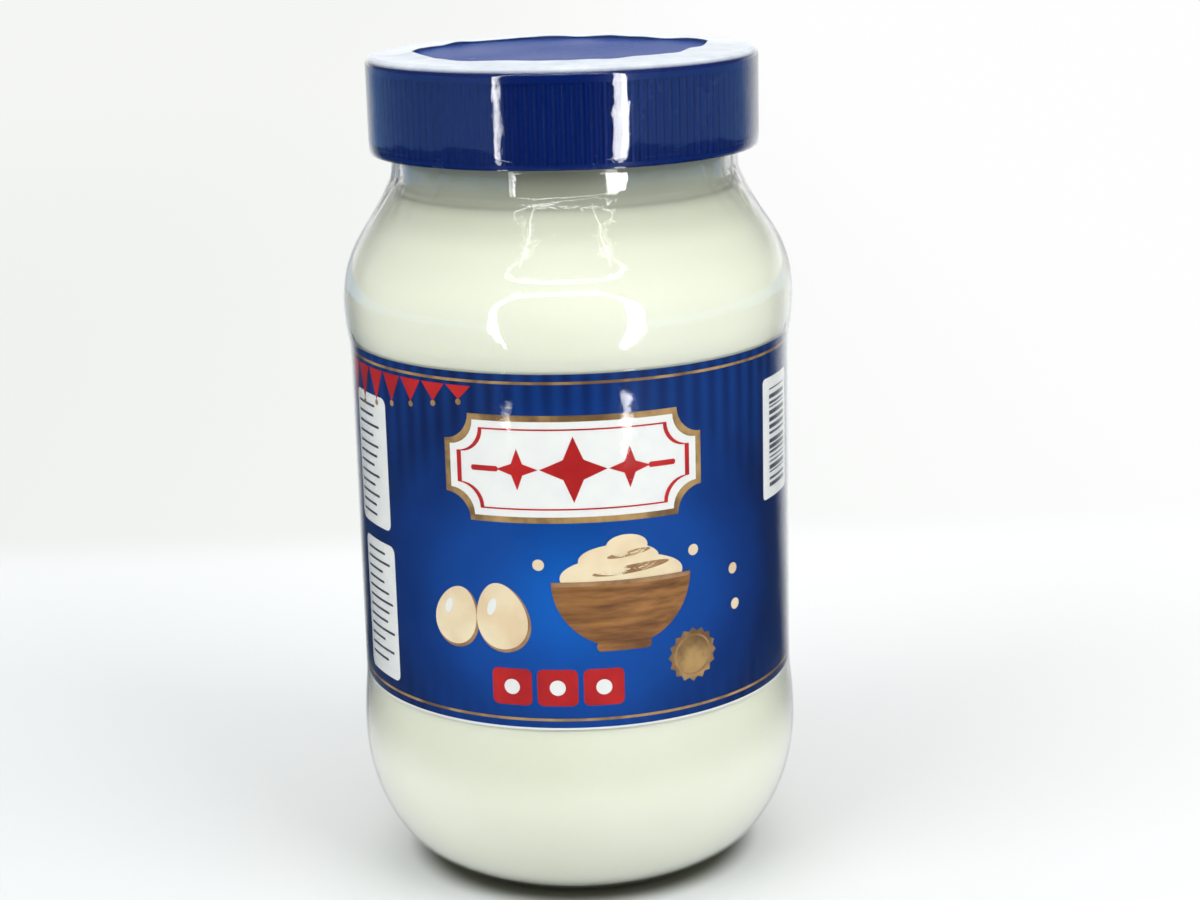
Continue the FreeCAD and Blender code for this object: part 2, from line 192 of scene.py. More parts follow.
class Nodes:
    """The node tree of a material or of the world, built with short calls."""

    def __init__(self, name, world=False):
        self.block = (bpy.data.worlds if world else bpy.data.materials).new(name)
        self.block.use_nodes = True
        self.tree = self.block.node_tree
        self.tree.nodes.clear()
        self.output = self.tree.nodes.new("ShaderNodeOutput" + ("World" if world else "Material"))

    def add(self, kind, inputs=(), **settings):
        node = self.tree.nodes.new("ShaderNode" + kind)
        for key, value in settings.items():
            setattr(node, key, value)
        for key, value in dict(inputs).items():
            self.feed(node.inputs[key], value)
        return node

    def feed(self, socket, value):
        if isinstance(value, bpy.types.NodeSocket):
            self.tree.links.new(value, socket)
        else:
            socket.default_value = value

    def maths(self, operation, first, second=0.0):
        return self.add("Math", {0: first, 1: second}, operation=operation).outputs[0]

    def between(self, value, low, high, start=0.0, end=1.0, smooth=False):
        """Start where the value is low or less, end where it is high or more, and a blend between."""
        kind = "SMOOTHSTEP" if smooth else "LINEAR"
        inputs = {0: value, 1: low, 2: high, 3: start, 4: end}
        return self.add("MapRange", inputs, interpolation_type=kind).outputs[0]

    def place(self):
        """Object coordinates in millimetres, as three sockets."""
        where = self.add("TexCoord").outputs["Object"]
        parts = self.add("SeparateXYZ", {0: where})
        return [self.maths("DIVIDE", parts.outputs[i], MM) for i in range(3)]

    def noise(self, scale, detail=3.0, rough=0.5, stretch=(1, 1, 1)):
        """Noise in 0..1 with about scale features a metre."""
        where = self.add("TexCoord").outputs["Object"]
        spread = self.add("Mapping", {"Vector": where, "Scale": stretch})
        made = self.add(
            "TexNoise",
            {"Vector": spread.outputs[0], "Scale": scale, "Detail": detail, "Roughness": rough},
        )
        return made.outputs["Fac"]

    def ramp(self, value, stops):
        """A colour ramp through (position, colour) stops."""
        node = self.add("ValToRGB", {0: value})
        node.color_ramp.interpolation = "EASE"
        points = node.color_ramp.elements
        while len(points) < len(stops):
            points.new(0.5)
        for point, (position, colour) in zip(points, stops):
            point.position = position
            point.color = (*colour, 1)
        return node.outputs[0]

    def scale(self, value, low, high):
        """A 0..1 value spread between low and high."""
        return self.between(value, 0.0, 1.0, low, high)

    def mix(self, share, first, second, kind="MIX"):
        node = self.add("Mix", data_type="RGBA", blend_type=kind)
        self.feed(node.inputs[0], share)
        for socket, colour in ((node.inputs[6], first), (node.inputs[7], second)):
            self.feed(socket, colour if isinstance(colour, bpy.types.NodeSocket) else (*colour, 1))
        return node.outputs[2]

    def bump(self, height, distance):
        """A bump whose height of 1 stands distance millimetres high."""
        return self.add("Bump", {"Height": height, "Distance": distance * MM}).outputs[0]

    def surface(self, shader):
        self.tree.links.new(shader.outputs[0], self.output.inputs[0])
        return self.block


def glaze(nodes, least, normal=None, tint=(1, 1, 1), rough=0.03):
    """Clear film or plastic: straight through, with a mirror that grows towards the rim."""
    facing = nodes.add("LayerWeight", {"Blend": 0.5}).outputs["Facing"]
    rim = nodes.maths("POWER", facing, 5.0)
    share = nodes.maths("ADD", nodes.maths("MULTIPLY", rim, 1 - least), least)
    clear = nodes.add("BsdfTransparent", {"Color": (*tint, 1)})
    mirror = nodes.add("BsdfGlossy", {"Color": (1, 1, 1, 1), "Roughness": rough})
    if normal:
        nodes.feed(mirror.inputs["Normal"], normal)
    return nodes.add("MixShader", {0: share, 1: clear.outputs[0], 2: mirror.outputs[0]})


def jar_plastic():
    nodes = Nodes("clear_plastic")
    ripple = nodes.bump(nodes.noise(90, 2), 0.05)
    return nodes.surface(glaze(nodes, 0.04, ripple, (0.985, 0.99, 0.985), 0.02))


def film_plastic(top_height):
    """Clear shrink film: crumpled and crisp where it spans the neck, milky where it gathered on the cap,
    where its white is also a painted reflection of the bright room above.
    """
    nodes = Nodes("shrink_film")
    height = nodes.place()[2]
    swell_top, neck_foot = top_height - 42, top_height - 27
    cap_low, cap_rib_foot = top_height - 16, top_height - 14
    coarse = nodes.noise(120, 2)
    fine = nodes.noise(700, 3, 0.6)
    crumple = nodes.noise(330, 3, 0.6)
    loose = nodes.between(height, swell_top, neck_foot)
    tight = nodes.between(height, cap_low, cap_rib_foot, 1.0, 0.0)
    crumpled = nodes.maths("MULTIPLY", nodes.maths("MULTIPLY", loose, tight), 0.65)
    waves = nodes.maths("ADD", coarse, nodes.maths("MULTIPLY", fine, 0.12))
    waves = nodes.maths("ADD", waves, nodes.maths("MULTIPLY", crumple, crumpled))
    blur = nodes.between(height, swell_top + 1, swell_top + 6, 0.075, 0.03)
    clear = glaze(nodes, 0.045, nodes.bump(waves, 0.12), rough=blur)
    # the gathered film's milky white at the cap's top, partly a painted reflection of the bright room above
    milk_and_painted_reflection = nodes.add("BsdfDiffuse", {"Color": (0.80, 0.85, 0.9, 1)})
    above = nodes.between(height, top_height - 0.75, top_height - 0.1)
    cloud = nodes.scale(nodes.noise(160, 4, 0.6), 0.35, 0.85)
    share = nodes.maths("MULTIPLY", above, cloud)
    return nodes.surface(nodes.add("MixShader", {0: share, 1: clear.outputs[0], 2: milk_and_painted_reflection.outputs[0]}))


def mayonnaise_cream(neck_height):
    """Pale cream, with painted shade: a little darker low down, and much greyer in the neck, where the
    cap's shadow falls.
    """
    nodes = Nodes("mayonnaise_cream")
    cloud = nodes.noise(35, 4)
    colour = nodes.ramp(cloud, [(0.25, (0.825, 0.85, 0.70)), (0.75, (0.86, 0.88, 0.75))])
    height = nodes.place()[2]
    # painted shade: the filling is a little darker below 25 mm and fades to its plain colour by 95 mm, for
    # less light low down
    painted_light_share = nodes.between(height, 25.0, 95.0)
    lower = nodes.mix(1.0, colour, (0.955, 0.955, 0.945), "MULTIPLY")
    colour = nodes.mix(painted_light_share, lower, colour)
    # painted shade: the cap's shadow on the filling, growing from 15 mm below the neck's ledge up into the
    # neck
    neck = nodes.between(height, neck_height - 15, neck_height + 5)
    shaded = nodes.ramp(neck, [
        (0.0, (1.0, 1.0, 1.0)),
        (0.35, (0.93, 0.93, 0.92)),
        (0.6, (0.76, 0.765, 0.74)),
        (0.8, (0.50, 0.515, 0.49)),
        (1.0, (0.34, 0.355, 0.33)),
    ])
    colour = nodes.mix(1.0, colour, shaded, "MULTIPLY")
    smear = nodes.noise(120, 3, 0.5, (1, 1, 0.3))
    skin = nodes.add("BsdfPrincipled", {
        "Base Color": colour,
        "Sheen Weight": 0.35,
        "Sheen Roughness": 0.4,
        "Roughness": nodes.scale(smear, 0.42, 0.6),
        "Subsurface Weight": 0.25,
        "Subsurface Radius": (0.004, 0.004, 0.003),
        "Subsurface Scale": 0.5,
        "Specular IOR Level": 0.25,
        "Normal": nodes.bump(smear, 0.06),
    })
    return nodes.surface(skin)


def cap_plastic(top_height):
    """Deep blue moulded plastic, with painted light: paler on its flat top, where light and the bright
    room's reflection fall from above.
    """
    nodes = Nodes("blue_plastic")
    mould = nodes.noise(60, 4)
    grain = nodes.noise(2500, 2)
    colour = nodes.ramp(mould, [(0.3, (0.0006, 0.011, 0.100)), (0.7, (0.001, 0.013, 0.112))])
    height = nodes.place()[2]
    # painted light and painted reflection: the flat top is painted a paler blue, for the light from above
    top = nodes.between(height, top_height - 0.5, top_height - 0.05)
    colour = nodes.mix(top, colour, (0.006, 0.055, 0.31))
    skin = nodes.add("BsdfPrincipled", {
        "Base Color": colour,
        "Roughness": nodes.scale(mould, 0.2, 0.32),
        "Specular IOR Level": 0.12,
        "Normal": nodes.bump(grain, 0.01),
    })
    return nodes.surface(skin)


def printed(nodes, colour):
    """A dull printed surface of that colour, with the paper's fine grain."""
    grain = nodes.noise(4000, 2)
    skin = nodes.add("BsdfPrincipled", {
        "Base Color": colour,
        "Roughness": nodes.scale(grain, 0.35, 0.5),
        "Specular IOR Level": 0.08,
        "Normal": nodes.bump(grain, 0.004),
    })
    return nodes.surface(skin)


def ink(name, light, dark, scale, stretch=(1, 1, 1), detail=3.0):
    """Printed colour between two tones."""
    nodes = Nodes(name)
    tone = nodes.noise(scale, detail, 0.55, stretch)
    return printed(nodes, nodes.ramp(tone, [(0.3, dark), (0.7, light)]))


GLOW_WIDTH = 40.0         # the label's paler middle: half its width and height, and how far up it lies
GLOW_HEIGHT = 34.0
GLOW_UP = 0.38
STRIPE = 3.1              # the faint stripes' spacing


def label_print(low, high, radius):
    """The label's field: royal blue glow low on front and back, navy elsewhere, faint upright stripes."""
    nodes = Nodes("label_blue")
    x, y, z = nodes.place()
    across = nodes.maths("MULTIPLY", nodes.maths("ARCTAN2", x, nodes.maths("ABSOLUTE", y)), radius)
    sideways = nodes.maths("ABSOLUTE", nodes.maths("DIVIDE", across, GLOW_WIDTH))
    glow_centre = low + GLOW_UP * (high - low)
    upward = nodes.maths("DIVIDE", nodes.maths("SUBTRACT", z, glow_centre), GLOW_HEIGHT)
    upward_squared = nodes.maths("MULTIPLY", upward, upward)
    squares = nodes.maths("ADD", nodes.maths("POWER", sideways, 2.0), upward_squared)
    field = nodes.ramp(nodes.maths("SQRT", squares), [
        (0.05, (0.003, 0.112, 0.49)),
        (0.45, (0.003, 0.060, 0.31)),
        (0.8, (0.002, 0.026, 0.16)),
        (1.0, (0.002, 0.012, 0.08)),
    ])
    wave = nodes.maths("SINE", nodes.maths("MULTIPLY", across, TURN / STRIPE))
    stripes = nodes.maths("ADD", nodes.maths("MULTIPLY", wave, 0.5), 0.5)
    ends = nodes.between(nodes.maths("ABSOLUTE", upward), 0.35, 0.95, 0.0, 0.5)
    striped = nodes.mix(nodes.maths("MULTIPLY", stripes, ends), field, (0.004, 0.05, 0.25))
    cloud = nodes.ramp(nodes.noise(40, 3), [(0.3, (0, 0.01, 0.06)), (0.7, (0.01, 0.1, 0.5))])
    return printed(nodes, nodes.mix(0.12, striped, cloud))


# ---------------------------------------------------------------- what the frame gives

label_low, label_high = (corner.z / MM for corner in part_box("label"))
label_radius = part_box("label")[1].x / MM
cap_bottom, cap_top = (corner.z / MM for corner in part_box("cap"))
film_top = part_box("film")[1].z / MM
film_path = outer_side(section("film"))
neck_film_radius = min(r for r, z in film_path if cap_bottom - 4 < z < cap_bottom)
ledge_height = max(z for r, z in film_path if z < cap_bottom - 2)


# ---------------------------------------------------------------- filling

INTO_WALL = 0.55          # how far the filling's skin goes outward from the CAD filling
FILLING_AROUND = 256
FILLING_STEP = 0.6
FILLING_RIM = 132.0       # above this height the filling's outline isn't smoothed


def make_filling():
    """The mayonnaise, its skin just inside the jar's wall, closed by a flat top and foot."""
    outline = [place for place in section("mayonnaise") if place[0] > 5]
    side = relax(walk(outline, lambda z: FILLING_STEP), 6, lambda z: z < FILLING_RIM)[::2]
    skin = [
        (r + INTO_WALL * nr, z + INTO_WALL * min(nz, 0))
        for (r, z), (nr, nz) in zip(side, normals(side))
    ]
    points = [polar(r, TURN * k / FILLING_AROUND, z) for r, z in skin for k in range(FILLING_AROUND)]
    faces = []
    for i in range(len(skin) - 1):
        for k in range(FILLING_AROUND):
            after = (k + 1) % FILLING_AROUND
            faces.append((
                i * FILLING_AROUND + k,
                i * FILLING_AROUND + after,
                (i + 1) * FILLING_AROUND + after,
                (i + 1) * FILLING_AROUND + k,
            ))
    for first in (0, (len(skin) - 1) * FILLING_AROUND):
        height = points[first][2]
        points.append((0, 0, height))
        for k in range(FILLING_AROUND):
            faces.append((first + k, first + (k + 1) % FILLING_AROUND, len(points) - 1))
    piece("filling", points, faces, mayonnaise_cream(ledge_height), ["mayonnaise"])


# ---------------------------------------------------------------- label and its print

LABEL_AROUND = 480
LABEL_ROWS = 40
LABEL_SHEET = 0.12
LAP = 12.0                # how far the label's end lies over its start, at the back
LAP_EDGE = 0.4


def lap_rise(angle):
    """How far the label's outside stands out at its lap."""
    from_back = wrapped(angle - math.pi) * label_radius
    begun = rise(-LAP / 2 - LAP_EDGE, -LAP / 2, from_back)
    ended = rise(LAP / 2, LAP / 2 + LAP_EDGE, from_back)
    return LABEL_SHEET * begun * (1 - ended)


def make_label():
    """The label's sheet, whose outside steps out at its lap."""
    heights = [label_low + (label_high - label_low) * i / LABEL_ROWS for i in range(LABEL_ROWS + 1)]
    rows = [(0, z) for z in heights] + [(LABEL_SHEET, z) for z in reversed(heights)]

    def place(row, angle):
        inward, height = row
        outside = label_radius + (lap_rise(angle) if not inward else 0)
        return polar(outside - inward, angle, height)

    points, faces = turned(rows, LABEL_AROUND, place)
    blue = label_print(label_low, label_high, label_radius)
    piece("label_sheet", points, faces, blue, ["label"])


def close_set(outline, step=0.8):
    """The outline with more points on its long sides, so that it follows the label's curve."""
    result = []
    for (x0, y0), (x1, y1) in zip(outline, outline[1:] + outline[:1]):
        parts = max(1, math.ceil(math.dist((x0, y0), (x1, y1)) / step))
        result += [(x0 + (x1 - x0) * k / parts, y0 + (y1 - y0) * k / parts) for k in range(parts)]
    return result


class Print:
    """Shapes of one ink, laid on the label's curve. Across and up are mm from its front middle and foot."""

    LIFT = 0.025          # each layer of ink stands this far above the last

    def __init__(self):
        self.points = []
        self.faces = []

    def shape(self, across, up, outline, layer=1, turn=0.0, rings=None):
        """A shape whose outline is a list of (across, up) round its own middle."""
        outline = close_set(outline)
        if rings is None:
            rings = max(2, math.ceil(max(abs(dx) for dx, _ in outline) / 1.1))
        first, count = len(self.points), len(outline)
        radius = label_radius + self.LIFT * layer
        cosine, sine = math.cos(turn), math.sin(turn)
        for ring in range(rings + 1):
            size = ring / rings
            for dx, dy in outline if ring else [(0, 0)]:
                over = across + size * (dx * cosine - dy * sine)
                height = label_low + up + size * (dx * sine + dy * cosine)
                self.points.append(polar(radius, over / label_radius, height))
        for k in range(count):
            after = (k + 1) % count
            self.faces.append((first, first + 1 + k, first + 1 + after))
            for ring in range(rings - 1):
                inner = first + 1 + ring * count
                self.faces.append((inner + k, inner + count + k, inner + count + after, inner + after))

    def ring(self, across, up, outline, width, layer=1):
        """A line of that width along the inside of an outline."""
        outline = close_set(outline)
        first, count = len(self.points), len(outline)
        radius = label_radius + self.LIFT * layer
        reach = max(math.hypot(dx, dy) for dx, dy in outline)
        for size in (1.0, 1 - width / reach):
            for dx, dy in outline:
                self.points.append(
                    polar(radius, (across + size * dx) / label_radius, label_low + up + size * dy)
                )
        for k in range(count):
            after = (k + 1) % count
            self.faces.append((first + k, first + after, first + count + after, first + count + k))

    def band(self, up, width, layer=1):
        """A line right round the label, up to its lap."""
        first = len(self.points)
        radius = label_radius + self.LIFT * layer
        for k in range(LABEL_AROUND):
            angle = TURN * k / LABEL_AROUND
            for height in (up, up + width):
                self.points.append(polar(radius + lap_rise(angle), angle, label_low + height))
        for k in range(LABEL_AROUND):
            here, after = first + 2 * k, first + 2 * ((k + 1) % LABEL_AROUND)
            self.faces.append((here, after, after + 1, here + 1))

    def finish(self, name, material):
        piece(name, self.points, self.faces, material)


def ellipse(half_width, half_height, count=48):
    return [
        (half_width * math.cos(TURN * k / count), half_height * math.sin(TURN * k / count))
        for k in range(count)
    ]


def panel(width, height, corner, count=6):
    """A rectangle with round corners."""
    outline = []
    for quarter in range(4):
        middle_x = (width / 2 - corner) * (1 if quarter in (0, 3) else -1)
        middle_y = (height / 2 - corner) * (1 if quarter in (0, 1) else -1)
        for k in range(count + 1):
            angle = TURN / 4 * (quarter + k / count)
            outline.append((middle_x + corner * math.cos(angle), middle_y + corner * math.sin(angle)))
    return outline


def plaque(width, height, scoop, count=8):
    """A rectangle with scooped-out corners."""
    outline = []
    for quarter in range(4):
        corner_x = width / 2 * (1 if quarter in (0, 3) else -1)
        corner_y = height / 2 * (1 if quarter in (0, 1) else -1)
        for k in range(count + 1):
            angle = TURN / 4 * (quarter + 3 - k / count)
            outline.append((corner_x + scoop * math.cos(angle), corner_y + scoop * math.sin(angle)))
    return outline


def star(points, outer, inner):
    outline = []
    for k in range(2 * points):
        reach = inner if k % 2 else outer
        angle = math.pi * k / points
        outline.append((reach * math.sin(angle), reach * math.cos(angle)))
    return outline


def egg(half_width, half_height, count=40):
    """An oval that is fuller below than above."""
    outline = []
    for k in range(count):
        angle = TURN * k / count
        up = math.sin(angle)
        outline.append((half_width * math.cos(angle) * (1 - 0.16 * up), half_height * up))
    return outline


def bowl(half_width, depth, count=32):
    """A half-round bowl seen from the side, its rim at height 0."""
    outline = []
    for k in range(count + 1):
        angle = math.pi + math.pi * k / count
        outline.append((half_width * math.cos(angle), depth * math.sin(angle)))
    return outline


INKS = {
    # light tone, dark tone, blotches a metre, and for wood also their stretch and detail
    "white": ((0.80, 0.82, 0.80), (0.76, 0.78, 0.77), 300),
    "red": ((0.52, 0.022, 0.02), (0.38, 0.014, 0.016), 120),
    "gold": ((0.46, 0.30, 0.12), (0.16, 0.09, 0.035), 180),
    "cream": ((0.82, 0.72, 0.50), (0.72, 0.55, 0.35), 110),
    "shade": ((0.42, 0.26, 0.13), (0.25, 0.13, 0.06), 200),
    "wood": ((0.40, 0.19, 0.06), (0.13, 0.055, 0.022), 220, (0.25, 1, 2.2), 5),
    "grey": ((0.10, 0.11, 0.14), (0.05, 0.06, 0.08), 900),
}
PLAQUE_UP = 43.5
BOWL_MIDDLE, BOWL_UP = 7.5, 25.0
TILES_MIDDLE, TILES_UP = -3.5, 7.2
ROUND_MIDDLE, ROUND_UP = 19.5, 10.6


def print_edges(inks):
    """Thin lines right round the label, near its foot and its top."""
    inks["white"].band(0.0, 0.35)
    inks["gold"].band(1.5, 0.45)
    inks["gold"].band(label_high - label_low - 1.6, 0.45)


def print_plaque(inks, middle, size):
    """A scooped white plaque with a gold rim, a red line and three four-pointed stars."""
    inks["gold"].shape(middle, PLAQUE_UP, plaque(43 * size, 17.5 * size, 4.4 * size), 1)
    inks["white"].shape(middle, PLAQUE_UP, plaque(41 * size, 15.5 * size, 4.2 * size), 2)
    red = inks["red"]
    red.ring(middle, PLAQUE_UP, plaque(38.5 * size, 13.2 * size, 4.0 * size), 0.8, 3)
    red.shape(middle, PLAQUE_UP, star(4, 5.4 * size, 2.3 * size), 3)
    for side in (-1, 1):
        red.shape(middle + side * 9.0 * size, PLAQUE_UP, star(4, 3.4 * size, 1.3 * size), 3)
        red.shape(middle + side * 14.4 * size, PLAQUE_UP, panel(4.6 * size, 0.9, 0.4), 3)


def print_bowl(inks):
    """A wooden bowl heaped with cream."""
    cream, shade, wood = inks["cream"], inks["shade"], inks["wood"]
    cream.shape(BOWL_MIDDLE, BOWL_UP + 0.6, ellipse(10.2, 3.6), 1)
    cream.shape(BOWL_MIDDLE - 0.6, BOWL_UP + 3.4, ellipse(6.6, 2.6), 2)
    cream.shape(BOWL_MIDDLE + 0.7, BOWL_UP + 5.6, ellipse(3.4, 1.9), 3)
    shade.shape(BOWL_MIDDLE + 1.4, BOWL_UP + 1.7, ellipse(6.4, 0.7), 2, 0.1)
    shade.shape(BOWL_MIDDLE + 1.0, BOWL_UP + 4.3, ellipse(3.6, 0.5), 3, 0.14)
    wood.shape(BOWL_MIDDLE, BOWL_UP, bowl(11.6, 11.2), 4)
    wood.shape(BOWL_MIDDLE, BOWL_UP - 11.0, panel(9.0, 1.6, 0.7), 3)
    shade.shape(BOWL_MIDDLE, BOWL_UP - 0.4, panel(22.6, 0.7, 0.3), 5)


def print_egg(inks, middle, up, turn, size):
    """An egg with a dark rim and a small highlight."""
    inks["shade"].shape(middle + 0.3, up - 0.3, egg(4.5 * size, 5.8 * size), 1, turn)
    inks["cream"].shape(middle, up, egg(4.3 * size, 5.6 * size), 2, turn)
    highlight = ellipse(0.7 * size, 1.5 * size, 24)
    inks["white"].shape(middle - 1.5 * size, up + 1.5 * size, highlight, 3, -0.35)


def print_drops(inks):
    """Cream drops scattered in an arc round the bowl."""
    for step in range(7):
        angle = math.radians(200 - 36 * step)
        across = BOWL_MIDDLE + 22.0 * math.cos(angle)
        up = BOWL_UP - 5.0 + 10.0 * math.sin(angle)
        inks["cream"].shape(across, up, ellipse(0.95, 0.95, 20), 1)


def print_tiles(inks):
    """Three red tiles, each with a plain white dot."""
    for aside in (-7.5, 0.0, 7.5):
        inks["red"].shape(TILES_MIDDLE + aside, TILES_UP, panel(6.6, 6.2, 1.0), 1)
        inks["white"].shape(TILES_MIDDLE + aside, TILES_UP, ellipse(1.3, 1.3, 24), 2)


def print_round(inks):
    """A scalloped gold round with a star in it."""
    inks["gold"].shape(ROUND_MIDDLE, ROUND_UP, star(16, 4.6, 4.0), 1)
    inks["shade"].ring(ROUND_MIDDLE, ROUND_UP, ellipse(3.5, 3.5), 0.35, 2)
    inks["gold"].shape(ROUND_MIDDLE, ROUND_UP, star(5, 2.4, 1.1), 3)


def print_pennants(inks):
    """Red pennants that hang from the top edge on the left, shorter to the right."""
    top = label_high - label_low
    for step in range(7):
        drop = 6.6 - 0.72 * step
        across = -48.0 + 4.9 * step
        pennant = [(-2.3, drop / 3), (0, -drop * 2 / 3), (2.3, drop / 3)]
        inks["red"].shape(across, top - 2.2 - drop / 3, pennant, 2, rings=4)
        inks["gold"].shape(across, top - 2.6 - drop, ellipse(0.5, 0.5, 16), 3)


def print_ruled_panel(inks, draws, middle, foot, wide, tall):
    """A white panel with plain grey rules of uneven length."""
    inks["white"].shape(middle, foot + tall / 2, panel(wide, tall, 1.3), 1)
    spacing, room = 1.7, wide - 2.0
    start = middle - room / 2
    for line in range(int(tall / spacing) - 1):
        length = room * draws.uniform(0.6, 1.0)
        up = foot + tall - 1.9 - spacing * line
        inks["grey"].shape(start + length / 2, up, panel(length, 0.45, 0.2, 2), 2)


def print_barred_panel(inks, draws):
    """A white panel with plain bars of uneven thickness."""
    inks["white"].shape(43.0, 42.8, panel(11.5, 20.5, 0.8), 1)
    up, bars_top = 34.4, 51.0
    while up < bars_top:
        thick = draws.choice((0.25, 0.45, 0.7))
        inks["grey"].shape(43.4, up + thick / 2, panel(7.6, thick, 0.08, 2), 2)
        up += thick + draws.choice((0.3, 0.5, 0.8))


def make_print():
    """The generic design, one piece for each ink."""
    inks = {colour: Print() for colour in INKS}
    print_edges(inks)
    for middle, size in ((0.0, 1.0), (label_radius * math.pi - 30, 0.8)):
        print_plaque(inks, middle, size)
    print_bowl(inks)
    for middle, up, turn, size in ((-12.5, 19.0, 0.15, 1.0), (-20.6, 18.4, -0.3, 0.9)):
        print_egg(inks, middle, up, turn, size)
    print_drops(inks)
    print_tiles(inks)
    print_round(inks)
    print_pennants(inks)
    draws = random.Random(7)
    for middle, foot, wide, tall in (
        (-41.5, 29.5, 12.0, 22.5), (-40.5, 3.5, 11.5, 23.5), (-78.0, 6.0, 26.0, 44.0),
    ):
        print_ruled_panel(inks, draws, middle, foot, wide, tall)
    print_barred_panel(inks, draws)
    for colour, tones in INKS.items():
        inks[colour].finish("print_" + colour, ink("ink_" + colour, *tones))


# ---------------------------------------------------------------- film

FILM_AROUND = 300
FILM_SHEET = 0.1
HOLE_RIM = 7.0            # how wide a strip round the hole follows the hole's ragged edge
EARS = ((-95.0, 11.5), (97.0, 13.0))          # angle in degrees and height of the film's two small corners
EAR_STANDS = 1.4

folds = random.Random(11)
FOLDS = [
    # angle in degrees, lean, depth in mm, width in mm
    (-77.0, 2.0, 0.9, 0.9), (-66.0, -3.0, 0.5, 1.2), (-47.0, 2.0, 0.55, 1.3), (-22.0, -2.0, 0.25, 2.0),
    (25.0, 3.0, 0.2, 1.8), (55.0, -4.0, 0.45, 1.1), (68.0, -5.0, 0.8, 0.8), (73.0, 4.0, 0.6, 0.7),
] + [
    (angle + folds.uniform(-8, 8), folds.uniform(-4, 4), folds.uniform(0.2, 0.8), folds.uniform(0.8, 1.8))
    for angle in range(95, 270, 19)
]


def film_step(height):
    """How far apart the film's rows are at a height."""
    if height > cap_top - 1.5 or abs(height - cap_bottom) < 0.6:
        return 0.25
    if height > cap_bottom:
        return 2.0
    if height > ledge_height - 10:
        return 0.5
    if height > label_high - 1 or height < label_low + 1:
        return 1.3
    return 3.0


def film_offset(height, angle):
    """How far the film stands off its even form."""
    x, y, _ = polar(1.0, angle, 0)
    below_cap = 1 - rise(cap_bottom - 1.2, cap_bottom - 0.1, height)
    tube = rise(ledge_height - 0.5, ledge_height + 1.5, height) * below_cap
    slope = rise(label_high, ledge_height - 8, height) * below_cap
    offset = -tube * (0.28 + 0.22 * noise.noise(Vector((x * 3.1, y * 3.1, height * 0.1))))
    offset += slope * 0.09 * (1 + noise.noise(Vector((x * 4.5, y * 4.5, height * 0.11))))
    if height < cap_bottom - 1:
        offset += 0.02 * (1 + noise.noise(Vector((x * 3, y * 3, height * 0.03 + 5))))
    for degrees, lean, depth, width in FOLDS:
        middle = math.radians(degrees + lean * (height - ledge_height) / 5)
        away = wrapped(angle - middle) * neck_film_radius
        if abs(away) < 4 * width:
            beside = bell(away - 1.6 * width, width) + bell(away + 1.6 * width, width)
            offset -= tube * depth * bell(away, width)
            offset += slope * 0.3 * depth * beside * bell(height - ledge_height, 4.0)
    for degrees, up in EARS:
        away = math.hypot(wrapped(angle - math.radians(degrees)) * 36, (height - up) * 0.8)
        offset += EAR_STANDS * max(0.0, 1 - away / 1.8)
    if label_low < height < label_high:
        offset += lap_rise(angle)
    return offset


def hole_reach(angle):
    """How much further in or out than its mean the film's ragged hole goes."""
    x, y, _ = polar(1.0, angle, 0)
    wide = noise.noise(Vector((x * 1.7, y * 1.7, 2.3)))
    narrow = noise.noise(Vector((x * 5, y * 5, 7.7)))
    return 2.4 * wide + 0.35 * narrow


def make_film():
    """The shrink film over the whole pack, a thin shell with a ragged hole on the cap and an open foot."""
    fine = walk(film_path, lambda z: 0.12)
    even = relax(fine, 400, lambda z: z < cap_bottom - 0.6)
    outer = walk(even, film_step)
    facing = normals(outer)
    hole_radius = outer[0][0]
    shoulder = hole_radius + HOLE_RIM
    rows = [(r, z, nr, nz, 0.0) for (r, z), (nr, nz) in zip(outer, facing)]
    rows += [(r, z, nr, nz, FILM_SHEET) for r, z, nr, nz, _ in reversed(rows)]

    def place(row, angle):
        r, z, nr, nz, inward = row
        if z > film_top - 0.2 and r < shoulder:
            loose = (shoulder - r) / (shoulder - hole_radius)
            x, y, _ = polar(1.0, angle, 0)
            curl = 0.35 + 0.3 * noise.noise(Vector((x * 4, y * 4, 1.1)))
            return polar(r + loose * hole_reach(angle), angle, z - inward + loose ** 2 * curl)
        offset = film_offset(z, angle) - inward
        return polar(r + nr * offset, angle, z + nz * offset)

    points, faces = turned(rows, FILM_AROUND, place)
    piece("film_wrap", points, faces, film_plastic(cap_top), ["film"], sharp=60)


# ---------------------------------------------------------------- stage, lamps, world, camera

FLOOR_HALF = 4000.0
WALL_NEAR, WALL_STARTS = 165.0, 200.0         # how far back the floor turns into the pale wall
WALL_FAR = 1400.0
RIGHT_SPAN = 250.0        # painted light: the stage gets lighter from this far left to this far right
FOOT_SHADOW_FULL, FOOT_SHADOW_GONE = 26.0, 32.0            # radii between which the painted contact shadow under the foot fades out
BEHIND_LEAN = 0.12        # how far what counts as behind the jar leans to the right

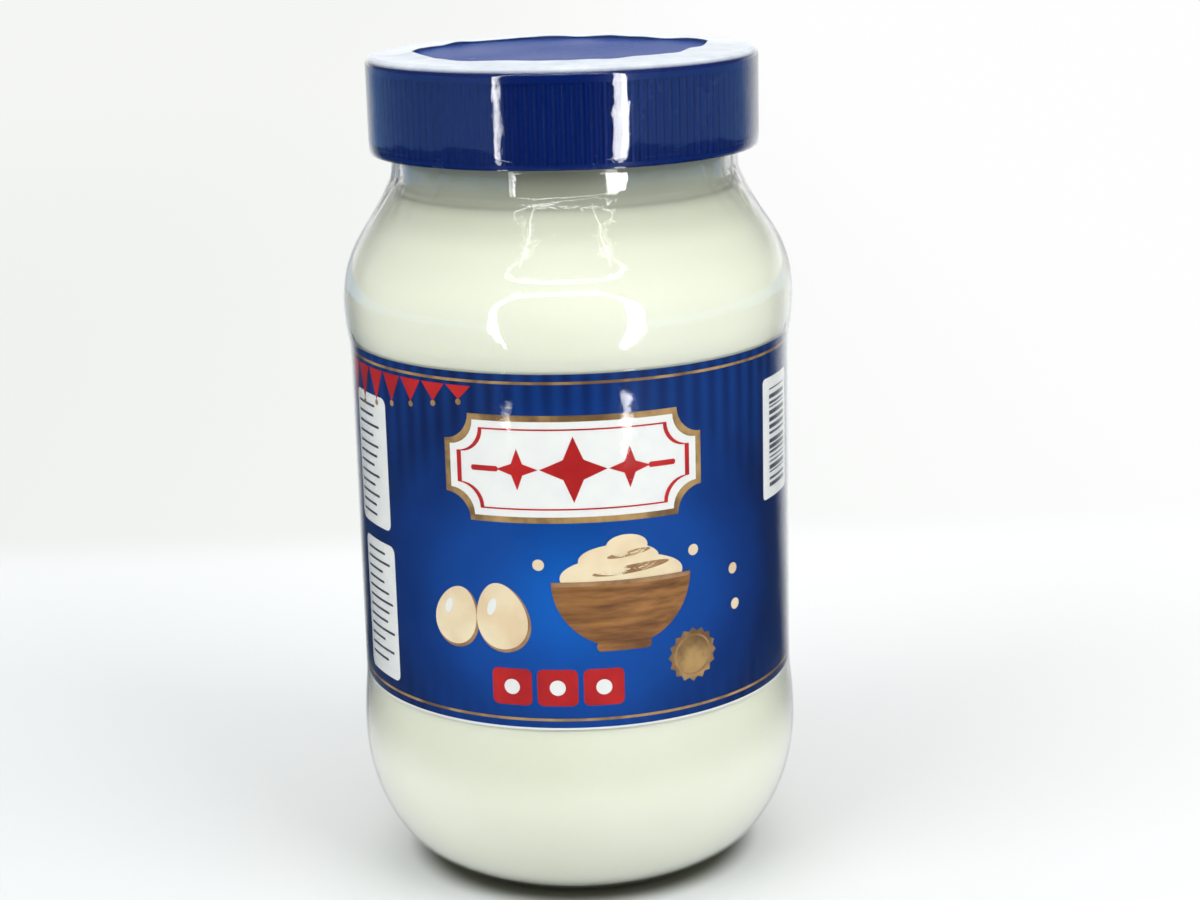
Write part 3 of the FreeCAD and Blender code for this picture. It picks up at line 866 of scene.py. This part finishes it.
OPENING_AWAY = 224.0      # the dark opening in front of the jar, as product photographs have: its distance
OPENING_LEFT = -160.0
OPENING_RIGHT = 134.0
OPENING_TOP = 208.0
OPENING_BEND = 80.0       # the arch's corners
OPENING_MIDDLE = (OPENING_LEFT + OPENING_RIGHT) / 2
ARCH_FOOT = 30.0
ARCH_TOP_WIDTH = 8.0
ARCH_SPLAY = 34.0         # how far the arch's feet turn inward, over the next height
ARCH_SPLAY_HEIGHT = 42.0
ARCHES = (
    # name, side, place across, width up the side, radiance
    ("arch_left", -1, OPENING_LEFT, 22.0, 10.0),
    ("arch_right", 1, OPENING_RIGHT, 44.0, 13.0),
)
HATCH_AWAY = 300.0        # the glowing ring above the opening
HATCH_LOW, HATCH_HIGH = 332.0, 625.0
HATCH_WIDE = 1.5 * (OPENING_RIGHT - OPENING_LEFT)
HATCH_BAND = 8.0
HATCH_RADIANCE = 8.0
HATCH_AROUND = 64

SOFT_SIZE = 500.0
SOFT_AIM = (0, 0, 70)
SOFT_LAMPS = (
    ("soft_right", (500, -430, 440), 4.2),
    ("soft_left", (-500, -430, 440), 3.5),
    ("soft_back", (0, 620, 440), 1.3),
)

CAMERA_PLACE = (0, -390.2, 172.7)
CAMERA_YAW, CAMERA_PITCH, CAMERA_ROLL = 0.69, 14.59, -1.455          # degrees right, down and round
CAMERA_LENS, CAMERA_SENSOR = 70.0, 36.0


def flat(name, points, faces, material):
    """A flat mesh of the stage, from points in millimetres."""
    mesh = bpy.data.meshes.new(name)
    mesh.from_pydata([Vector(p) * MM for p in points], [], faces)
    mesh.materials.append(material)
    made = bpy.data.objects.new(name, mesh)
    bpy.context.scene.collection.objects.link(made)
    return made


def only_reflected(thing):
    """The thing shows in reflections and nowhere else, and casts neither light nor shadow."""
    thing.visible_camera = False
    thing.visible_diffuse = False
    thing.visible_shadow = False
    thing.visible_transmission = False


def pale_floor():
    """The floor's paint, with a painted contact shadow right under the foot, and the wall that the camera
    sees far back.

    Reflections see the floor dimmed, except close to the jar and behind it.
    """
    nodes = Nodes("pale_floor")
    x, y, _ = nodes.place()
    squares = nodes.maths("ADD", nodes.maths("MULTIPLY", x, x), nodes.maths("MULTIPLY", y, y))
    reach = nodes.maths("SQRT", squares)
    rays = nodes.add("LightPath")

    cloud = nodes.ramp(nodes.noise(6, 2), [(0.3, (0.655, 0.678, 0.683)), (0.7, (0.665, 0.688, 0.693))])
    # painted light: the floor is painted lighter to the right and further back, in place of light falling
    # there
    rightward = nodes.between(x, -RIGHT_SPAN, RIGHT_SPAN, smooth=True)
    colour = nodes.mix(rightward, cloud, (0.71, 0.725, 0.72))
    distant = nodes.between(y, -20.0, 170.0, smooth=True)
    far_colour = nodes.mix(rightward, (0.745, 0.765, 0.765), (0.79, 0.805, 0.80))
    colour = nodes.mix(distant, colour, far_colour)
    # painted shadow: the dark contact shadow right round the jar's foot
    under = nodes.between(reach, FOOT_SHADOW_FULL, FOOT_SHADOW_GONE, 1.0, 0.0, smooth=True)
    colour = nodes.mix(under, colour, (0.11, 0.115, 0.088))

    near = nodes.between(reach, 60.0, 130.0, smooth=True)
    behind = nodes.maths("ADD", y, nodes.maths("MULTIPLY", x, BEHIND_LEAN))
    front = nodes.between(nodes.maths("DIVIDE", behind, reach), 0.66, 0.96, 1.0, 0.0, smooth=True)
    outer = nodes.between(reach, 800.0, 900.0, smooth=True)
    dark = nodes.mix(outer, (0.015, 0.03, 0.05), (0.14, 0.27, 0.50))
    dim = nodes.maths("MULTIPLY", rays.outputs["Is Glossy Ray"], nodes.maths("MULTIPLY", near, front))
    colour = nodes.mix(dim, colour, dark)
    skin = nodes.add("BsdfPrincipled", {"Base Color": colour, "Roughness": 0.9, "Specular IOR Level": 0.1})

    further = nodes.between(y, WALL_STARTS, WALL_FAR, smooth=True)
    # painted light: the wall too gets lighter further back and to the right
    wall = nodes.mix(further, (0.855, 0.88, 0.855), (0.91, 0.92, 0.90))
    wall = nodes.mix(rightward, wall, (0.99, 0.995, 0.99))
    glow = nodes.add("Emission", {"Color": wall, "Strength": 1.0})
    beyond = nodes.between(y, WALL_NEAR, WALL_STARTS, smooth=True)
    seen = nodes.maths("MULTIPLY", rays.outputs["Is Camera Ray"], beyond)
    return nodes.surface(nodes.add("MixShader", {0: seen, 1: skin.outputs[0], 2: glow.outputs[0]}))


def make_floor():
    """A wide pale floor."""
    signs = ((-1, -1), (1, -1), (1, 1), (-1, 1))
    corners = [(side * FLOOR_HALF, along * FLOOR_HALF, 0) for side, along in signs]
    floor = flat("floor", corners, [(0, 1, 2, 3)], pale_floor())


def make_opening():
    """A black card inside the glowing arch, which only reflections see."""
    nodes = Nodes("black_card")
    dull = nodes.ramp(nodes.noise(20, 2), [(0.3, (0.004, 0.004, 0.005)), (0.7, (0.008, 0.008, 0.009))])
    black = nodes.surface(nodes.add("BsdfDiffuse", {"Color": dull}))
    foot = 0.5
    corners = [
        (OPENING_LEFT, -OPENING_AWAY, foot), (OPENING_RIGHT, -OPENING_AWAY, foot),
        (OPENING_RIGHT, -OPENING_AWAY, OPENING_TOP), (OPENING_LEFT, -OPENING_AWAY, OPENING_TOP),
    ]
    card = flat("black_card", corners, [(0, 1, 2, 3)], black)
    only_reflected(card)


def ribbon(name, path, widths, radiance, away, closed=False):
    """A flat glowing band along a path in an upright plane, which only reflections see."""
    count = len(path)
    points = []
    for i, (x, z) in enumerate(path):
        before = path[i - 1] if closed or i else path[i]
        after = path[(i + 1) % count] if closed or i + 1 < count else path[i]
        along = Vector((after[0] - before[0], after[1] - before[1])).normalized()
        for half in (-0.5, 0.5):
            points.append((x - along[1] * widths[i] * half, -away, z + along[0] * widths[i] * half))
    faces = [
        (2 * i, 2 * i + 1, (2 * i + 3) % (2 * count), (2 * i + 2) % (2 * count))
        for i in range(count if closed else count - 1)
    ]
    nodes = Nodes(name)
    flicker = nodes.scale(nodes.noise(30, 2), 0.9 * radiance, 1.1 * radiance)
    glow = nodes.surface(nodes.add("Emission", {"Color": (1, 1, 1, 1), "Strength": flicker}))
    band = flat(name, points, faces, glow)
    only_reflected(band)


def arch(side, across):
    """One half of the arch over the opening: up the side, round the corner and to the middle of the top."""
    bend_x, bend_z = across - side * OPENING_BEND, OPENING_TOP - OPENING_BEND
    upright, corner = 10, 14
    path = []
    for i in range(upright):
        height = ARCH_FOOT + (bend_z - ARCH_FOOT) * i / upright
        inward = ARCH_SPLAY * max(0.0, 1 - (height - ARCH_FOOT) / ARCH_SPLAY_HEIGHT) ** 2
        path.append((across - side * inward, height))
    for i in range(corner + 1):
        turn = math.pi / 2 * i / corner
        path.append((bend_x + side * OPENING_BEND * math.cos(turn), bend_z + OPENING_BEND * math.sin(turn)))
    path.append((OPENING_MIDDLE, OPENING_TOP))
    return path


def arch_width(height, side_width):
    """The arch's width at a height: narrow at its foot and thin over the top."""
    over_top = rise(OPENING_TOP - OPENING_BEND, OPENING_TOP - 15, height)
    foot_share = 0.3 + 0.7 * rise(ARCH_FOOT, ARCH_FOOT + 36, height)
    return (side_width + (ARCH_TOP_WIDTH - side_width) * over_top) * foot_share


def make_reflections():
    """The glowing arch round the dark opening, and a glowing ring above it."""
    for name, side, across, side_width, radiance in ARCHES:
        path = arch(side, across)
        ribbon(name, path, [arch_width(z, side_width) for _, z in path], radiance, OPENING_AWAY)
    middle_height = (HATCH_HIGH + HATCH_LOW) / 2
    oval = ellipse(HATCH_WIDE / 2, (HATCH_HIGH - HATCH_LOW) / 2, HATCH_AROUND)
    ring = [(OPENING_MIDDLE + x, middle_height + z) for x, z in oval]
    ribbon("hatch", ring, [HATCH_BAND] * HATCH_AROUND, HATCH_RADIANCE, HATCH_AWAY, closed=True)


def make_lamps():
    """Three soft square lamps, two in front and a weaker one behind, which reflections don't see."""
    for name, place, radiance in SOFT_LAMPS:
        data = bpy.data.lights.new(name, "AREA")
        data.shape = "RECTANGLE"
        data.size = data.size_y = SOFT_SIZE * MM
        data.energy = radiance * math.pi * data.size * data.size_y
        light = bpy.data.objects.new(name, data)
        light.location = Vector(place) * MM
        aim = Vector(SOFT_AIM) - Vector(place)
        light.rotation_mode = "QUATERNION"
        light.rotation_quaternion = aim.to_track_quat("-Z", "Y")
        light.visible_camera = False
        light.visible_glossy = False
        bpy.context.scene.collection.objects.link(light)


def make_world():
    """Soft light, most of it from above. Reflections see a dim room in front and a pale one behind."""
    nodes = Nodes("studio", world=True)
    bpy.context.scene.world = nodes.block
    along = nodes.add("SeparateXYZ", {0: nodes.add("TexCoord").outputs["Generated"]})
    x, y, z = along.outputs
    rays = nodes.add("LightPath")
    above = nodes.between(z, 0.0, 1.0, 0.30, 1.15)
    leaning = nodes.maths("ADD", y, nodes.maths("MULTIPLY", x, BEHIND_LEAN))
    behind = nodes.between(leaning, 0.62, 0.95, 0.0, 0.85, smooth=True)
    lower = nodes.between(z, 0.03, 0.2, 1.0, 0.04)
    pale = nodes.maths("MULTIPLY", behind, lower)
    tint = nodes.mix(nodes.between(pale, 0.0, 0.3), (0.9, 0.95, 1.0), (1, 1, 1))
    room = nodes.add("Background", {"Color": (1, 1, 1, 1), "Strength": above})
    gloss = nodes.add("Background", {"Color": tint, "Strength": nodes.maths("ADD", pale, 0.11)})
    seen = nodes.add("Background", {"Color": (0.92, 0.94, 0.92, 1), "Strength": 1.0})
    mirrored = rays.outputs["Is Glossy Ray"]
    dimmed = nodes.add("MixShader", {0: mirrored, 1: room.outputs[0], 2: gloss.outputs[0]})
    looked_at = rays.outputs["Is Camera Ray"]
    nodes.surface(nodes.add("MixShader", {0: looked_at, 1: dimmed.outputs[0], 2: seen.outputs[0]}))


def make_camera():
    """The photograph's camera."""
    yaw, pitch, roll = (math.radians(a) for a in (CAMERA_YAW, CAMERA_PITCH, CAMERA_ROLL))
    level = math.cos(pitch)
    forward = Vector((math.sin(yaw) * level, math.cos(yaw) * level, -math.sin(pitch)))
    right = Vector((math.cos(yaw), -math.sin(yaw), 0))
    up = right.cross(forward)
    rolled_right = math.cos(roll) * right + math.sin(roll) * up
    rolled_up = math.cos(roll) * up - math.sin(roll) * right
    data = bpy.data.cameras.new("camera")
    data.sensor_width = CAMERA_SENSOR
    data.lens = CAMERA_LENS
    camera = bpy.data.objects.new("camera", data)
    turn = Matrix((rolled_right, rolled_up, -forward)).transposed()
    camera.matrix_world = Matrix.Translation(Vector(CAMERA_PLACE) * MM) @ turn.to_4x4()
    bpy.context.scene.collection.objects.link(camera)
    bpy.context.scene.camera = camera


# ---------------------------------------------------------------- the whole

make_camera()
make_floor()
make_opening()
make_reflections()
make_lamps()
make_world()

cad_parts["jar"].data.materials[0] = jar_plastic()
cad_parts["cap"].data.materials[0] = cap_plastic(cap_top)
make_filling()
make_label()
make_print()
make_film()

view = bpy.context.scene.view_settings
view.view_transform = "Standard"
